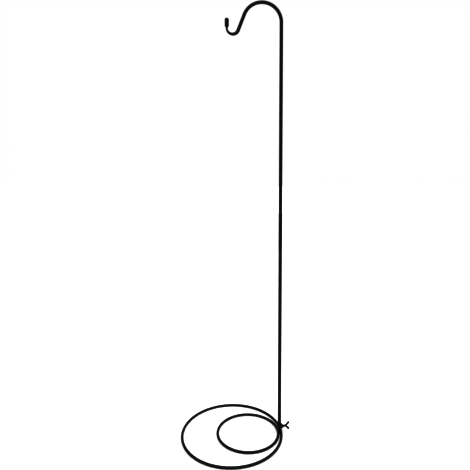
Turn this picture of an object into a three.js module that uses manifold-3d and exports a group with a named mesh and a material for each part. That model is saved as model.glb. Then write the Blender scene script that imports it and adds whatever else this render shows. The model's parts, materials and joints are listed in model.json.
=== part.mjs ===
// A free-standing plant and feeder hanger: a two-section steel pole with a shepherd's hook,
// clamped by a wing screw in a collar that is welded to a flat base of two rod rings.
// Millimetres, +Z up. The pole, the collar and the hook are laid out around the pole's axis, and
// the whole stand is then moved along X so that the origin is the middle of its footprint.

import * as THREE from 'three';
import { mergeVertices } from 'three/addons/utils/BufferGeometryUtils.js';
import Module from 'manifold-3d';

const wasm = await Module();
wasm.setup();

// ---------------------------------------------------------------- driving dimensions (mm, degrees)
const OVERALL_HEIGHT = 1219;        // 48 inches from the floor to the top of the hook
const GAP = 0.3;                    // room left between two pieces that touch
const ROD_DIAMETER = 7;             // rod of the two floor rings
const ROD_SIDES = 12;
const ROD_SPACE = 1.3;              // between the two rods where they are closest, under the pole
const OUTER_RING_RADIUS = 141.55;   // to the rod's centreline
const OUTER_RING_STEPS = 96;
const INNER_RING_RADIUS = 86.95;
const INNER_RING_STEPS = 72;

const TUBE_DIAMETER = 9.5;          // upper section and hook
const TUBE_WALL = 1.2;
const TUBE_SIDES = 16;
const LOWER_DIAMETER = 9.9;         // lower section
const LOWER_BORE = 7.5;
const SOCKET_DIAMETER = 10.4;       // widened top end of the lower section
const SOCKET_LENGTH = 96;
const SOCKET_TAPER = 14;
const POLE_EDGE = 0.3;              // broken edges at the ends of the lower section
const JOINT_HEIGHT = 636;           // where the two sections meet, above the floor

const ARCH_RADIUS = 52.8;           // hook's large bend, to the centreline
const ARCH_SWEEP = 158.5;
const ARCH_STEPS = 24;
const FLANK_LENGTH = 46.6;          // straight stretch between the two bends
const CURL_RADIUS = 16;             // hook's small bend, where things hang
const CURL_STEPS = 14;
const TIP_LENGTH = 22;              // straight end after the curl, inside the cap
const TIP_DIAMETER = 5.4;           // the curl is drawn down to this
const TIP_WALL = 1.3;

const PIN_DIAMETER = 6.7;
const PIN_IN_SOCKET = 75;           // how deep the joining pin stands in the lower section
const PIN_IN_UPPER = 40;
const PIN_CHAMFER = 1;

const COLLAR_DIAMETER = 15.5;
const COLLAR_BORE = 10.7;
const COLLAR_HEIGHT = 18;
const COLLAR_CHAMFER = 0.7;

const CLAMP_AZIMUTH = 10;           // the wing screw's direction, turned from +X about the pole
const CLAMP_HEIGHT = 17.4;
const THREAD_DIAMETER = 5;
const THREAD_POINT = 1;             // chamfer at the screw's end
const NUT_FLATS = 8;
const NUT_THICKNESS = 4.6;
const NUT_CHAMFER = 0.7;
const NUT_SINK = 0.9;               // the nut's back reaches this far in, round the collar
const SHANK_SHOWING = 4;            // thread left showing between the nut and the wings
const HUB_DIAMETER = 6.6;
const HUB_LENGTH = 5;
const HUB_FOOT_CHAMFER = 0.6;
const HUB_CROWN = 1.2;
const WING_ANGLE = 44;              // each wing, from the screw's axis
const WING_REACH = 12.4;            // from the hub's foot to the middle of a wing's round end
const WING_END_RADIUS = 2.7;
const WING_ROOT_RADIUS = 2.2;
const WING_THICKNESS = 2.6;
const WING_CURVE_SEGMENTS = 10;

const CAP_DIAMETER = 11.2;
const CAP_LENGTH = 25;
const CAP_MOUTH_DIAMETER = 8.4;     // the cap narrows to this around its mouth
const CAP_SHOULDER = 4.5;
const CAP_SHOULDER_STEPS = 4;
const CAP_DOME = 5.2;               // height of its round top
const CAP_DOME_STEPS = 6;
const CAP_BOTTOM_ABOVE_CURL = 2.2;  // mouth of the cap above the curl's end

const ROUND_SIDES = 32;             // facets round the collar, the nut's hole and the lower section
const SMALL_SIDES = 24;             // facets round the screw, the joining pin and the cap

const radians = THREE.MathUtils.degToRad;
const MERGE_DISTANCE = 1e-4;

// ---------------------------------------------------------------- materials
function material(colour, roughness, metalness) {
  return new THREE.MeshStandardMaterial({ color: colour, roughness, metalness });
}

const frameBlack = material(0x121316, 0.42, 0.55);
const screwBlack = material(0x17181b, 0.36, 0.7);
const pinSteel = material(0x8d8f92, 0.35, 0.9);
const capBlack = material(0x0d0d0e, 0.6, 0);

// ---------------------------------------------------------------- helpers
// A body of revolution about Z from [radius, height] corners; a tube's corners go round its wall.
function turned(corners, sides) {
  const points = corners.map(([radius, height]) => new THREE.Vector2(radius, height));
  const onAxis = corners[0][0] === 0;
  if (!onAxis) points.push(points[0].clone());
  const geometry = new THREE.LatheGeometry(points, sides);
  geometry.rotateX(Math.PI / 2);
  return geometry;
}

// The same geometry with its shared corners merged, as a manifold solid.
function solidFrom(geometry) {
  const bare = geometry.index ? geometry.toNonIndexed() : geometry.clone();
  bare.deleteAttribute('normal');
  bare.deleteAttribute('uv');
  const merged = mergeVertices(bare, MERGE_DISTANCE);
  const vertProperties = new Float32Array(merged.attributes.position.array);
  const triVerts = new Uint32Array(merged.index.array);
  return new wasm.Manifold(new wasm.Mesh({ numProp: 3, vertProperties, triVerts }));
}

// A manifold solid turned back into a geometry.
function geometryFrom(solid) {
  const mesh = solid.getMesh();
  const geometry = new THREE.BufferGeometry();
  geometry.setAttribute('position', new THREE.BufferAttribute(mesh.vertProperties.slice(), 3));
  geometry.setIndex(Array.from(mesh.triVerts));
  return geometry;
}

function piece(name, geometry, finish) {
  const mesh = new THREE.Mesh(geometry, finish);
  mesh.name = name;
  return mesh;
}

// ---------------------------------------------------------------- base: two rings side by side
// Each ring is one turn of rod lying on the floor: a round section carried round the ring's centre.
// The section has a flat facet underneath, so the ring rests on a real face.
function floorRing(ringRadius, steps) {
  const rodRadius = ROD_DIAMETER / 2;
  const cornerRadius = rodRadius / Math.cos(Math.PI / ROD_SIDES);
  const corners = [];
  for (let i = 0; i < ROD_SIDES; i += 1) {
    const angle = (2 * Math.PI * (i + 0.5)) / ROD_SIDES;
    corners.push([ringRadius + cornerRadius * Math.cos(angle), rodRadius + cornerRadius * Math.sin(angle)]);
  }
  return turned(corners, steps);
}

// The rods come closest side by side under the pole, and the collar stands on both.
const rodOffset = (ROD_DIAMETER + ROD_SPACE) / 2;
const outerCentre = rodOffset - OUTER_RING_RADIUS;
const innerCentre = -rodOffset - INNER_RING_RADIUS;

function makeOuterRing() {
  const ring = piece('outer_ring', floorRing(OUTER_RING_RADIUS, OUTER_RING_STEPS), frameBlack);
  ring.position.x = outerCentre;
  return ring;
}

function makeInnerRing() {
  const ring = piece('inner_ring', floorRing(INNER_RING_RADIUS, INNER_RING_STEPS), frameBlack);
  ring.position.x = innerCentre;
  return ring;
}

// ---------------------------------------------------------------- collar and its nut
const collarBottom = ROD_DIAMETER + GAP;
const nutFoot = COLLAR_DIAMETER / 2 - NUT_SINK;
const nutFace = COLLAR_DIAMETER / 2 + NUT_THICKNESS;

// The clamp's parts are made along +Z and then laid along the screw's axis, from the pole outwards.
function alongClamp(geometry) {
  geometry.rotateY(Math.PI / 2);
  geometry.rotateZ(radians(CLAMP_AZIMUTH));
  geometry.translate(0, 0, CLAMP_HEIGHT);
  return geometry;
}

// The screw's hole: a plain round wall with room for the screw to turn, from the pole's axis out.
function screwHole() {
  const radius = THREAD_DIAMETER / 2 + GAP;
  const hole = new THREE.CylinderGeometry(radius, radius, 2 * nutFace, ROUND_SIDES);
  hole.rotateX(Math.PI / 2);
  hole.translate(0, 0, nutFace);
  return solidFrom(alongClamp(hole));
}

function makeCollar() {
  const outer = COLLAR_DIAMETER / 2;
  const inner = COLLAR_BORE / 2;
  const top = collarBottom + COLLAR_HEIGHT;
  const tube = solidFrom(turned([
    [inner, collarBottom],
    [outer - COLLAR_CHAMFER, collarBottom],
    [outer, collarBottom + COLLAR_CHAMFER],
    [outer, top - COLLAR_CHAMFER],
    [outer - COLLAR_CHAMFER, top],
    [inner, top],
  ], ROUND_SIDES));
  return piece('pole_collar', geometryFrom(tube.subtract(screwHole())), frameBlack);
}

// The nut is a hexagon whose outer corners are turned off by a cone. Its back is hollowed to sit
// round the collar.
function makeNut() {
  const cornerRadius = NUT_FLATS / 2 / Math.cos(Math.PI / 6);
  const body = new THREE.CylinderGeometry(cornerRadius, cornerRadius, nutFace - nutFoot, 6);
  body.rotateX(Math.PI / 2);
  body.translate(0, 0, (nutFace + nutFoot) / 2);
  const bevel = turned([
    [0, nutFoot],
    [cornerRadius + NUT_CHAMFER, nutFoot],
    [cornerRadius + NUT_CHAMFER, nutFace - NUT_CHAMFER],
    [cornerRadius - NUT_CHAMFER, nutFace],
    [0, nutFace],
  ], ROUND_SIDES);
  const seatRadius = COLLAR_DIAMETER / 2 + GAP;
  const seat = new THREE.CylinderGeometry(seatRadius, seatRadius, 2 * COLLAR_HEIGHT, ROUND_SIDES);
  seat.rotateX(Math.PI / 2);
  seat.translate(0, 0, CLAMP_HEIGHT);
  const hexagon = solidFrom(alongClamp(body)).intersect(solidFrom(alongClamp(bevel)));
  const nut = hexagon.subtract(screwHole()).subtract(solidFrom(seat));
  return piece('weld_nut', geometryFrom(nut), frameBlack);
}

// ---------------------------------------------------------------- wing screw
const wingRoot = nutFace + SHANK_SHOWING;

// One wing's outline: a round end joined to the hub by two straight sides.
function wingOutline() {
  const lean = Math.asin((WING_END_RADIUS - WING_ROOT_RADIUS) / WING_REACH);
  const shape = new THREE.Shape();
  shape.absarc(WING_REACH, 0, WING_END_RADIUS, -Math.PI / 2 - lean, Math.PI / 2 + lean, false);
  shape.absarc(0, 0, WING_ROOT_RADIUS, Math.PI / 2 + lean, (3 * Math.PI) / 2 - lean, false);
  shape.closePath();
  return shape;
}

// The wings stand in the upright plane through the screw's axis.
function wing(side) {
  const geometry = new THREE.ExtrudeGeometry(wingOutline(), {
    depth: WING_THICKNESS,
    bevelEnabled: false,
    curveSegments: WING_CURVE_SEGMENTS,
  });
  geometry.translate(0, 0, -WING_THICKNESS / 2);
  geometry.rotateX(Math.PI / 2);
  geometry.rotateY(-Math.PI / 2 + side * radians(WING_ANGLE));
  geometry.translate(0, 0, wingRoot + WING_ROOT_RADIUS);
  return solidFrom(geometry);
}

function makeWingScrew() {
  const tipStart = LOWER_DIAMETER / 2 + GAP;
  const threadRadius = THREAD_DIAMETER / 2;
  const hubRadius = HUB_DIAMETER / 2;
  const shank = solidFrom(turned([
    [0, tipStart],
    [threadRadius - THREAD_POINT, tipStart],
    [threadRadius, tipStart + THREAD_POINT],
    [threadRadius, wingRoot],
    [hubRadius - HUB_FOOT_CHAMFER, wingRoot],
    [hubRadius, wingRoot + HUB_FOOT_CHAMFER],
    [hubRadius, wingRoot + HUB_LENGTH - HUB_CROWN],
    [hubRadius - HUB_CROWN, wingRoot + HUB_LENGTH],
    [0, wingRoot + HUB_LENGTH],
  ], SMALL_SIDES));
  const whole = shank.add(wing(1)).add(wing(-1));
  return piece('wing_screw', alongClamp(geometryFrom(whole)), screwBlack);
}

// ---------------------------------------------------------------- pole
const poleFoot = ROD_DIAMETER + GAP;

function makeLowerPole() {
  const bore = LOWER_BORE / 2;
  const outer = LOWER_DIAMETER / 2;
  const socket = SOCKET_DIAMETER / 2;
  const socketFoot = JOINT_HEIGHT - SOCKET_LENGTH;
  return piece('lower_pole', turned([
    [bore, poleFoot],
    [outer - POLE_EDGE, poleFoot],
    [outer, poleFoot + POLE_EDGE],
    [outer, socketFoot - SOCKET_TAPER],
    [socket, socketFoot],
    [socket, JOINT_HEIGHT - POLE_EDGE],
    [socket - POLE_EDGE, JOINT_HEIGHT],
    [bore, JOINT_HEIGHT],
  ], ROUND_SIDES), frameBlack);
}

// ---------------------------------------------------------------- hook
const archCentreHeight = OVERALL_HEIGHT - TUBE_DIAMETER / 2 - ARCH_RADIUS;
const upperFoot = JOINT_HEIGHT + GAP;

// The hook's line lies in the XZ plane and leans out towards -X, over the rings. It runs up the
// pole, over the arch, down the straight flank, round the curl and up into the cap.
const bend = radians(ARCH_SWEEP);
const flankStart = new THREE.Vector3(
  -ARCH_RADIUS * (1 - Math.cos(bend)),
  0,
  archCentreHeight + ARCH_RADIUS * Math.sin(bend),
);
const flankDirection = new THREE.Vector3(-Math.sin(bend), 0, Math.cos(bend));
const flankEnd = flankStart.clone().addScaledVector(flankDirection, FLANK_LENGTH);
const curlOutward = new THREE.Vector3(Math.cos(bend), 0, Math.sin(bend));
const curlCentre = flankEnd.clone().addScaledVector(curlOutward, CURL_RADIUS);
const curlEnd = new THREE.Vector3(curlCentre.x - CURL_RADIUS, 0, curlCentre.z);

function straight(from, to) {
  return (share) => from.clone().lerp(to, share);
}

function archPoint(share) {
  const angle = share * bend;
  const x = -ARCH_RADIUS * (1 - Math.cos(angle));
  return new THREE.Vector3(x, 0, archCentreHeight + ARCH_RADIUS * Math.sin(angle));
}

function curlPoint(share) {
  const angle = (1 - share) * bend;
  const x = curlCentre.x - CURL_RADIUS * Math.cos(angle);
  return new THREE.Vector3(x, 0, curlCentre.z - CURL_RADIUS * Math.sin(angle));
}

// A stretch has a number of steps, its points, its direction as an angle from +Z towards -X, and how
// far along the drawing-down of the tip it is.
const hookStretches = [
  {
    steps: 1,
    point: straight(new THREE.Vector3(0, 0, upperFoot), new THREE.Vector3(0, 0, archCentreHeight)),
    angle: () => 0,
    drawn: () => 0,
  },
  {
    steps: ARCH_STEPS,
    point: archPoint,
    angle: (share) => share * bend,
    drawn: () => 0,
  },
  { steps: 1, point: straight(flankStart, flankEnd), angle: () => bend, drawn: () => 0 },
  {
    steps: CURL_STEPS,
    point: curlPoint,
    angle: (share) => (1 - share) * bend,
    drawn: (share) => THREE.MathUtils.smoothstep(share, 0, 1),
  },
  {
    steps: 1,
    point: straight(curlEnd, new THREE.Vector3(curlEnd.x, 0, curlEnd.z + TIP_LENGTH)),
    angle: () => 0,
    drawn: () => 1,
  },
];
const hookSteps = hookStretches.reduce((sum, stretch) => sum + stretch.steps, 0);

// The stretch that holds the share t of all the steps, and the share of that stretch passed there.
function hookStation(t) {
  let left = t * hookSteps;
  let index = 0;
  while (index < hookStretches.length - 1 && left > hookStretches[index].steps) {
    left -= hookStretches[index].steps;
    index += 1;
  }
  const stretch = hookStretches[index];
  return { stretch, share: Math.min(left / stretch.steps, 1) };
}

// The line is stepped finely round its bends and coarsely along its straights, so the distance
// along it isn't even.
class HookLine extends THREE.Curve {
  getPoint(t) {
    const { stretch, share } = hookStation(t);
    return stretch.point(share);
  }

  getTangent(t) {
    const { stretch, share } = hookStation(t);
    const angle = stretch.angle(share);
    return new THREE.Vector3(-Math.sin(angle), 0, Math.cos(angle));
  }

  getPointAt(t) {
    return this.getPoint(t);
  }

  getTangentAt(t) {
    return this.getTangent(t);
  }
}

// The stations of the line, each with how much of the full radius the bar keeps there.
function hookStations(line, tipShare) {
  const stations = [];
  for (let i = 0; i <= hookSteps; i += 1) {
    const t = i / hookSteps;
    const { stretch, share } = hookStation(t);
    const keep = THREE.MathUtils.lerp(1, tipShare, stretch.drawn(share));
    stations.push({ point: line.getPoint(t), tangent: line.getTangent(t), keep });
  }
  return stations;
}

// The station whose circle of that radius a corner of the bar lies on.
function stationOf(corner, stations, radius) {
  const offset = new THREE.Vector3();
  const miss = ({ point, tangent }) => {
    offset.subVectors(corner, point);
    return Math.abs(offset.dot(tangent)) + Math.abs(offset.length() - radius);
  };
  return stations.reduce((best, station) => (miss(station) < miss(best) ? station : best));
}

// A round bar along the hook's line. Its radius falls from fullRadius to tipRadius round the curl:
// every corner is pulled in towards the station that it was made at.
function hookBar(fullRadius, tipRadius) {
  const section = [];
  for (let i = 0; i < TUBE_SIDES; i += 1) {
    const angle = (2 * Math.PI * i) / TUBE_SIDES;
    section.push(new THREE.Vector2(fullRadius * Math.cos(angle), fullRadius * Math.sin(angle)));
  }
  const line = new HookLine();
  const bar = new THREE.ExtrudeGeometry(new THREE.Shape(section), {
    steps: hookSteps,
    bevelEnabled: false,
    extrudePath: line,
  });
  const stations = hookStations(line, tipRadius / fullRadius);
  const position = bar.attributes.position;
  const corner = new THREE.Vector3();
  for (let i = 0; i < position.count; i += 1) {
    corner.fromBufferAttribute(position, i);
    const { point, keep } = stationOf(corner, stations, fullRadius);
    corner.sub(point).multiplyScalar(keep).add(point);
    position.setXYZ(i, corner.x, corner.y, corner.z);
  }
  return bar;
}

function makeUpperPole() {
  const wall = hookBar(TUBE_DIAMETER / 2, TIP_DIAMETER / 2);
  const bore = hookBar(TUBE_DIAMETER / 2 - TUBE_WALL, TIP_DIAMETER / 2 - TIP_WALL);
  return piece('upper_pole', geometryFrom(solidFrom(wall).subtract(solidFrom(bore))), frameBlack);
}

function makeJoiningPin() {
  const radius = PIN_DIAMETER / 2;
  const foot = JOINT_HEIGHT - PIN_IN_SOCKET;
  const top = JOINT_HEIGHT + PIN_IN_UPPER;
  return piece('joining_pin', turned([
    [0, foot],
    [radius - PIN_CHAMFER, foot],
    [radius, foot + PIN_CHAMFER],
    [radius, top - PIN_CHAMFER],
    [radius - PIN_CHAMFER, top],
    [0, top],
  ], SMALL_SIDES), pinSteel);
}

// ---------------------------------------------------------------- cap on the hook's tip
// A thick soft sleeve with a round top, narrowed round its mouth. The tip stands in its blind bore.
function makeTipCap() {
  const radius = CAP_DIAMETER / 2;
  const mouth = CAP_MOUTH_DIAMETER / 2;
  const bore = TIP_DIAMETER / 2 + GAP;
  const foot = curlEnd.z + CAP_BOTTOM_ABOVE_CURL;
  const top = foot + CAP_LENGTH;
  const corners = [[bore, foot], [mouth, foot]];
  for (let i = 1; i <= CAP_SHOULDER_STEPS; i += 1) {
    const share = i / CAP_SHOULDER_STEPS;
    const swell = Math.sin((share * Math.PI) / 2);
    corners.push([mouth + (radius - mouth) * swell, foot + CAP_SHOULDER * share]);
  }
  for (let i = 0; i < CAP_DOME_STEPS; i += 1) {
    const angle = (i / CAP_DOME_STEPS) * (Math.PI / 2);
    corners.push([radius * Math.cos(angle), top + CAP_DOME * (Math.sin(angle) - 1)]);
  }
  const boreTop = curlEnd.z + TIP_LENGTH + GAP;
  corners.push([0, top], [0, boreTop], [bore, boreTop]);
  const cap = piece('tip_cap', turned(corners, SMALL_SIDES), capBlack);
  cap.position.x = curlEnd.x;
  return cap;
}

// ---------------------------------------------------------------- the whole stand
const base = new THREE.Group();
base.add(makeOuterRing(), makeInnerRing(), makeCollar(), makeNut());

const pole = new THREE.Group();
pole.add(makeLowerPole(), makeUpperPole(), makeJoiningPin(), makeTipCap());

const stand = new THREE.Group();
stand.add(base, makeWingScrew(), pole);

// The origin is the middle of the footprint's box, on the floor.
const footprint = new THREE.Box3().setFromObject(stand);
stand.position.x = -(footprint.min.x + footprint.max.x) / 2;

const model = new THREE.Group();
model.add(stand);

export default model;
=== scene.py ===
# %% [markdown]
# # A shepherd's hook stand for the garden
# A slim steel pole in two sections ends in a shepherd's hook with a soft cap on its tip. A wing
# screw clamps the pole's foot in a collar, which is welded to two rings of rod on the floor.
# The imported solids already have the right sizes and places. This lesson builds a finer piece over
# each of them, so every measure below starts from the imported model.

import json
import math

import bmesh
import bpy
from mathutils import Matrix, Vector


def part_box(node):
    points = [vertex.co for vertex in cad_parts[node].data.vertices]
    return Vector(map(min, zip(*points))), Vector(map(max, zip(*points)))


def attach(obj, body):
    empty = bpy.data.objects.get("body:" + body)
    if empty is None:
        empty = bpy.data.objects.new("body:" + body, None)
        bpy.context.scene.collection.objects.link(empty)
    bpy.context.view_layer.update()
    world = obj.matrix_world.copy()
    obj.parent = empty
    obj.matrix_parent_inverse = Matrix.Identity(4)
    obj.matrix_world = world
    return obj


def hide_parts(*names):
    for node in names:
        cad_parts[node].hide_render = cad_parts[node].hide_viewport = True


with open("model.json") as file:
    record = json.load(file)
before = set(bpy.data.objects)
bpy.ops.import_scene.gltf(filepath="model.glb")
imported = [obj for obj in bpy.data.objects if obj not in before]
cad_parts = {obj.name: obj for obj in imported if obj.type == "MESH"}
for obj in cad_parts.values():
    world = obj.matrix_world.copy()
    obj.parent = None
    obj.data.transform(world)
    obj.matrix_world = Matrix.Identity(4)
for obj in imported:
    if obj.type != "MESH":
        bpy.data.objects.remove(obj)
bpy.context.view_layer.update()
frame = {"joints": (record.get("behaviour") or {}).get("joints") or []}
MM = 0.001

# %% [markdown]
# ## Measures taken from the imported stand
# A node's box says where it is and how large it is. The rods' thickness, the rings' centres, the
# pole's axis and the screw's direction are all read here once, and the pieces reuse them.

# %% Read the measures


def middle_and_size(node):
    """The middle of a node's box and its size, in millimetres."""
    low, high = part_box(node)
    return (low + high) / 2 / MM, (high - low) / MM


outer_middle, outer_size = middle_and_size("outer_ring")
inner_middle, inner_size = middle_and_size("inner_ring")
collar_middle, collar_size = middle_and_size("pole_collar")
lower_middle, lower_size = middle_and_size("lower_pole")
upper_middle, upper_size = middle_and_size("upper_pole")
pin_middle, pin_size = middle_and_size("joining_pin")
cap_middle, cap_size = middle_and_size("tip_cap")
POLE_X = lower_middle.x
ROD = outer_size.z
OUTER_RADIUS = (outer_size.x - ROD) / 2
INNER_RADIUS = (inner_size.x - ROD) / 2
clamp = next(joint for joint in frame["joints"] if joint["name"] == "wing_screw_turn")
CLAMP_HEIGHT = clamp["pos_m"][2] / MM
CLAMP_TURN = math.atan2(clamp["axis"][1], clamp["axis"][0])
print("pole axis at x", round(POLE_X, 2), "mm, rods", round(ROD, 2), "mm thick")
print("rings", round(OUTER_RADIUS, 1), "and", round(INNER_RADIUS, 1), "mm to the rod's middle")

# %% [markdown]
# ## The camera
# The stand is seen from the front, from a little above its middle, with a wide lens so that the
# floor rings open into ellipses. The camera dips only three degrees, and a shift of the lens frames
# the rest, as with a view camera, so that the pole stays nearly upright.

# %% Place the camera
PICTURE_SIDE = 470
FOCAL_LENGTH = 400            # in the same unit as the picture's side
SENSOR_WIDTH = 36
LENS_CENTRE = (242, 202)      # where the lens axis meets the picture, from its top left corner
CAMERA_PLACE = Vector((-42.2, -1114.7, 726.7)) * MM
CAMERA_TURN = -3.09
CAMERA_DIP = 3.01

camera_data = bpy.data.cameras.new("front_camera")
camera_data.sensor_width = SENSOR_WIDTH
camera_data.lens = FOCAL_LENGTH / PICTURE_SIDE * SENSOR_WIDTH
camera_data.shift_x = (PICTURE_SIDE / 2 - LENS_CENTRE[0]) / PICTURE_SIDE
camera_data.shift_y = (LENS_CENTRE[1] - PICTURE_SIDE / 2) / PICTURE_SIDE
camera = bpy.data.objects.new("front_camera", camera_data)
camera.location = CAMERA_PLACE
camera.rotation_euler = (math.radians(90 - CAMERA_DIP), 0, math.radians(CAMERA_TURN))
bpy.context.scene.collection.objects.link(camera)
bpy.context.scene.camera = camera
print("lens", round(camera_data.lens, 2), "mm, shift", round(camera_data.shift_y, 3))

# %% [markdown]
# ## Node helpers
# Finishes and shapes are both made of nodes here. One small function adds a node and wires it, and
# another does arithmetic, so each recipe below reads as a list of steps.

# %% Helpers that add nodes


def add(tree, kind, wires=None, out=0, **settings):
    """Adds a node, sets it up and wires it; returns one of its outputs."""
    made = tree.nodes.new(kind)
    for key, value in settings.items():
        setattr(made, key, value)
    for key, value in (wires or {}).items():
        for one in value if isinstance(value, list) else [value]:
            if isinstance(one, bpy.types.NodeSocket):
                tree.links.new(one, made.inputs[key])
            else:
                made.inputs[key].default_value = one
    return made.outputs[out]


def calc(tree, operation, *values):
    """One step of arithmetic on numbers or sockets."""
    return add(tree, "ShaderNodeMath", dict(enumerate(values)), operation=operation)


def between(tree, value, low, high, to_low, to_high):
    """Carries a value from one range to another and holds it at the ends."""
    wires = dict(enumerate((value, low, high, to_low, to_high)))
    return add(tree, "ShaderNodeMapRange", wires, interpolation_type="SMOOTHSTEP")


def noise(tree, place, size, detail=2.0, distortion=0.0):
    """Noise whose lumps are about that many millimetres across."""
    wires = {"Vector": place, "Scale": 1 / (size * MM), "Detail": detail, "Distortion": distortion}
    return add(tree, "ShaderNodeTexNoise", wires)


def blend_colours(tree, share, first, second):
    """Mixes two colours by a share from 0 to 1."""
    return add(tree, "ShaderNodeMix", {0: share, 6: first, 7: second}, out=2, data_type="RGBA")


def start_finish(name, **constants):
    """A new material; returns its tree, its shader and the place on the piece."""
    material = bpy.data.materials.new(name)
    material.use_nodes = True
    tree = material.node_tree
    shader = tree.nodes["Principled BSDF"]
    for key, value in constants.items():
        shader.inputs[key.replace("_", " ")].default_value = value
    return material, tree, shader, add(tree, "ShaderNodeTexCoord", out="Object")


def raise_surface(tree, shader, *layers):
    """Stacks bumps on the shader: each layer is a height from 0 to 1 and its depth in mm."""
    normal = None
    for height, depth in layers:
        wires = {"Strength": 1.0, "Distance": depth * MM, "Height": height}
        if normal is not None:
            wires["Normal"] = normal
        normal = add(tree, "ShaderNodeBump", wires)
    tree.links.new(normal, shader.inputs["Normal"])


print("node helpers ready")

# %% [markdown]
# ## Black powder coat
# The rings, the collar and both pole sections are sprayed with plastic powder and baked. The skin
# flows out semi-gloss, with the soft orange peel of baked powder and a fine grain on it. The black
# is slightly blue, and not even: it is a little thinner here and there. Where pieces rub, the
# skin is polished and greyer. Each mesh carries that in an attribute called rub, from 0 to 1.

# %% Mix the powder coat
powder_coat, tree, shader, place = start_finish("black_powder_coat", Specular_IOR_Level=0.34)
cloud = noise(tree, place, 24, detail=3.0)
peel = noise(tree, place, 1.5, detail=1.5)
grain = noise(tree, place, 0.32, detail=1.0)
scuff = noise(tree, place, 1.1, detail=4.0, distortion=0.6)
rub = add(tree, "ShaderNodeAttribute", out="Fac", attribute_name="rub")
worn = between(tree, calc(tree, "MULTIPLY", rub, calc(tree, "ADD", scuff, 0.35)), 0.3, 0.75, 0, 1)
body = blend_colours(tree, between(tree, cloud, 0.35, 0.7, 0, 1), (0.0048, 0.005, 0.006, 1),
                     (0.0076, 0.0079, 0.0094, 1))
speckled = blend_colours(tree, between(tree, grain, 0.62, 0.78, 0, 0.5), body,
                         (0.02, 0.0205, 0.023, 1))
coat = blend_colours(tree, worn, speckled, (0.062, 0.063, 0.066, 1))
tree.links.new(coat, shader.inputs["Base Color"])
sheen = between(tree, cloud, 0.3, 0.7, 0.38, 0.45)
tree.links.new(calc(tree, "SUBTRACT", sheen, calc(tree, "MULTIPLY", worn, 0.1)),
               shader.inputs["Roughness"])
tree.links.new(calc(tree, "MULTIPLY", worn, 0.55), shader.inputs["Metallic"])
raise_surface(tree, shader, (peel, 0.05), (grain, 0.008))
print("finish:", powder_coat.name)

# %% [markdown]
# ## Blackened screw
# The wing screw isn't painted: it is forged and then blackened in a bath, which leaves bare dark
# metal with a faint brown and blue cast and the sandy skin of the forging. Its crests are rubbed
# brighter by the nut.

# %% Mix the screw's finish
blackened, tree, shader, place = start_finish("blackened_screw", Specular_IOR_Level=0.4)
cast = noise(tree, place, 3.2, detail=3.0)
sand = noise(tree, place, 0.35, detail=2.5)
rub = add(tree, "ShaderNodeAttribute", out="Fac", attribute_name="rub")
bright = calc(tree, "MULTIPLY", rub, between(tree, sand, 0.35, 0.65, 0.35, 1))
bath = blend_colours(tree, between(tree, cast, 0.35, 0.68, 0, 1), (0.017, 0.018, 0.022, 1),
                     (0.03, 0.027, 0.025, 1))
tree.links.new(blend_colours(tree, bright, bath, (0.095, 0.092, 0.09, 1)),
               shader.inputs["Base Color"])
tree.links.new(between(tree, cast, 0.3, 0.7, 0.38, 0.52), shader.inputs["Roughness"])
shader.inputs["Metallic"].default_value = 0.8
raise_surface(tree, shader, (cast, 0.05), (sand, 0.025))
print("finish:", blackened.name)

# %% [markdown]
# ## Turned steel
# The joining pin is bare bar, turned in a lathe, so fine lines run round it. A little oil has
# dried on it in patches. It shows only when the upper section is lifted.

# %% Mix the pin's finish
TOOL_MARK = 0.22              # mm from one turning line to the next
turned_steel, tree, shader, place = start_finish("plain_steel")
marks = add(tree, "ShaderNodeTexWave", {
    "Vector": place, "Scale": math.tau / 20 / (TOOL_MARK * MM), "Distortion": 0.4, "Detail": 1.0,
    "Detail Scale": 0.4}, out="Fac", wave_type="BANDS", bands_direction="Z")
oil = noise(tree, place, 7, detail=4.0, distortion=0.4)
patches = between(tree, oil, 0.42, 0.66, 0, 1)
tree.links.new(blend_colours(tree, patches, (0.4, 0.4, 0.395, 1), (0.31, 0.3, 0.28, 1)),
               shader.inputs["Base Color"])
tree.links.new(between(tree, oil, 0.35, 0.7, 0.27, 0.42), shader.inputs["Roughness"])
shader.inputs["Metallic"].default_value = 1.0
raise_surface(tree, shader, (marks, 0.012), (oil, 0.01))
print("finish:", turned_steel.name)

# %% [markdown]
# ## Soft vinyl
# The cap is dipped: a hot former goes into liquid vinyl and comes out with a thick soft skin. It
# is duller than the powder coat, with a fine pebble and slow waves left as the vinyl ran down.

# %% Mix the cap's finish
vinyl, tree, shader, place = start_finish("black_cap", Specular_IOR_Level=0.3)
runs = noise(tree, place, 3.5, detail=2.0)
pebble = noise(tree, place, 0.28, detail=1.5)
tree.links.new(blend_colours(tree, between(tree, runs, 0.35, 0.7, 0, 1),
                             (0.0052, 0.0052, 0.0056, 1), (0.011, 0.011, 0.0112, 1)),
               shader.inputs["Base Color"])
tree.links.new(between(tree, pebble, 0.3, 0.7, 0.52, 0.66), shader.inputs["Roughness"])
raise_surface(tree, shader, (runs, 0.12), (pebble, 0.014))
print("finish:", vinyl.name)

FINISHES = {
    "black_powder_coat": powder_coat,
    "blackened_screw": blackened,
    "plain_steel": turned_steel,
    "black_cap": vinyl,
}

# %% [markdown]
# ## From a mesh to a piece
# A finished piece is a plain mesh in its own place, with its finish and the body that it moves
# with. Its normals are worked out again first, because a swept or mirrored skin can come out inside
# out. The rub attribute is set by a rule that looks at each point.

# %% Helpers that finish a piece
SHARP_ANGLE = math.radians(38)


def facing_out(mesh):
    """Merges doubled points and turns every face outwards."""
    shape = bmesh.new()
    shape.from_mesh(mesh)
    bmesh.ops.remove_doubles(shape, verts=shape.verts, dist=1e-7)
    bmesh.ops.recalc_face_normals(shape, faces=shape.faces)
    shape.to_mesh(mesh)
    shape.free()


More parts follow.
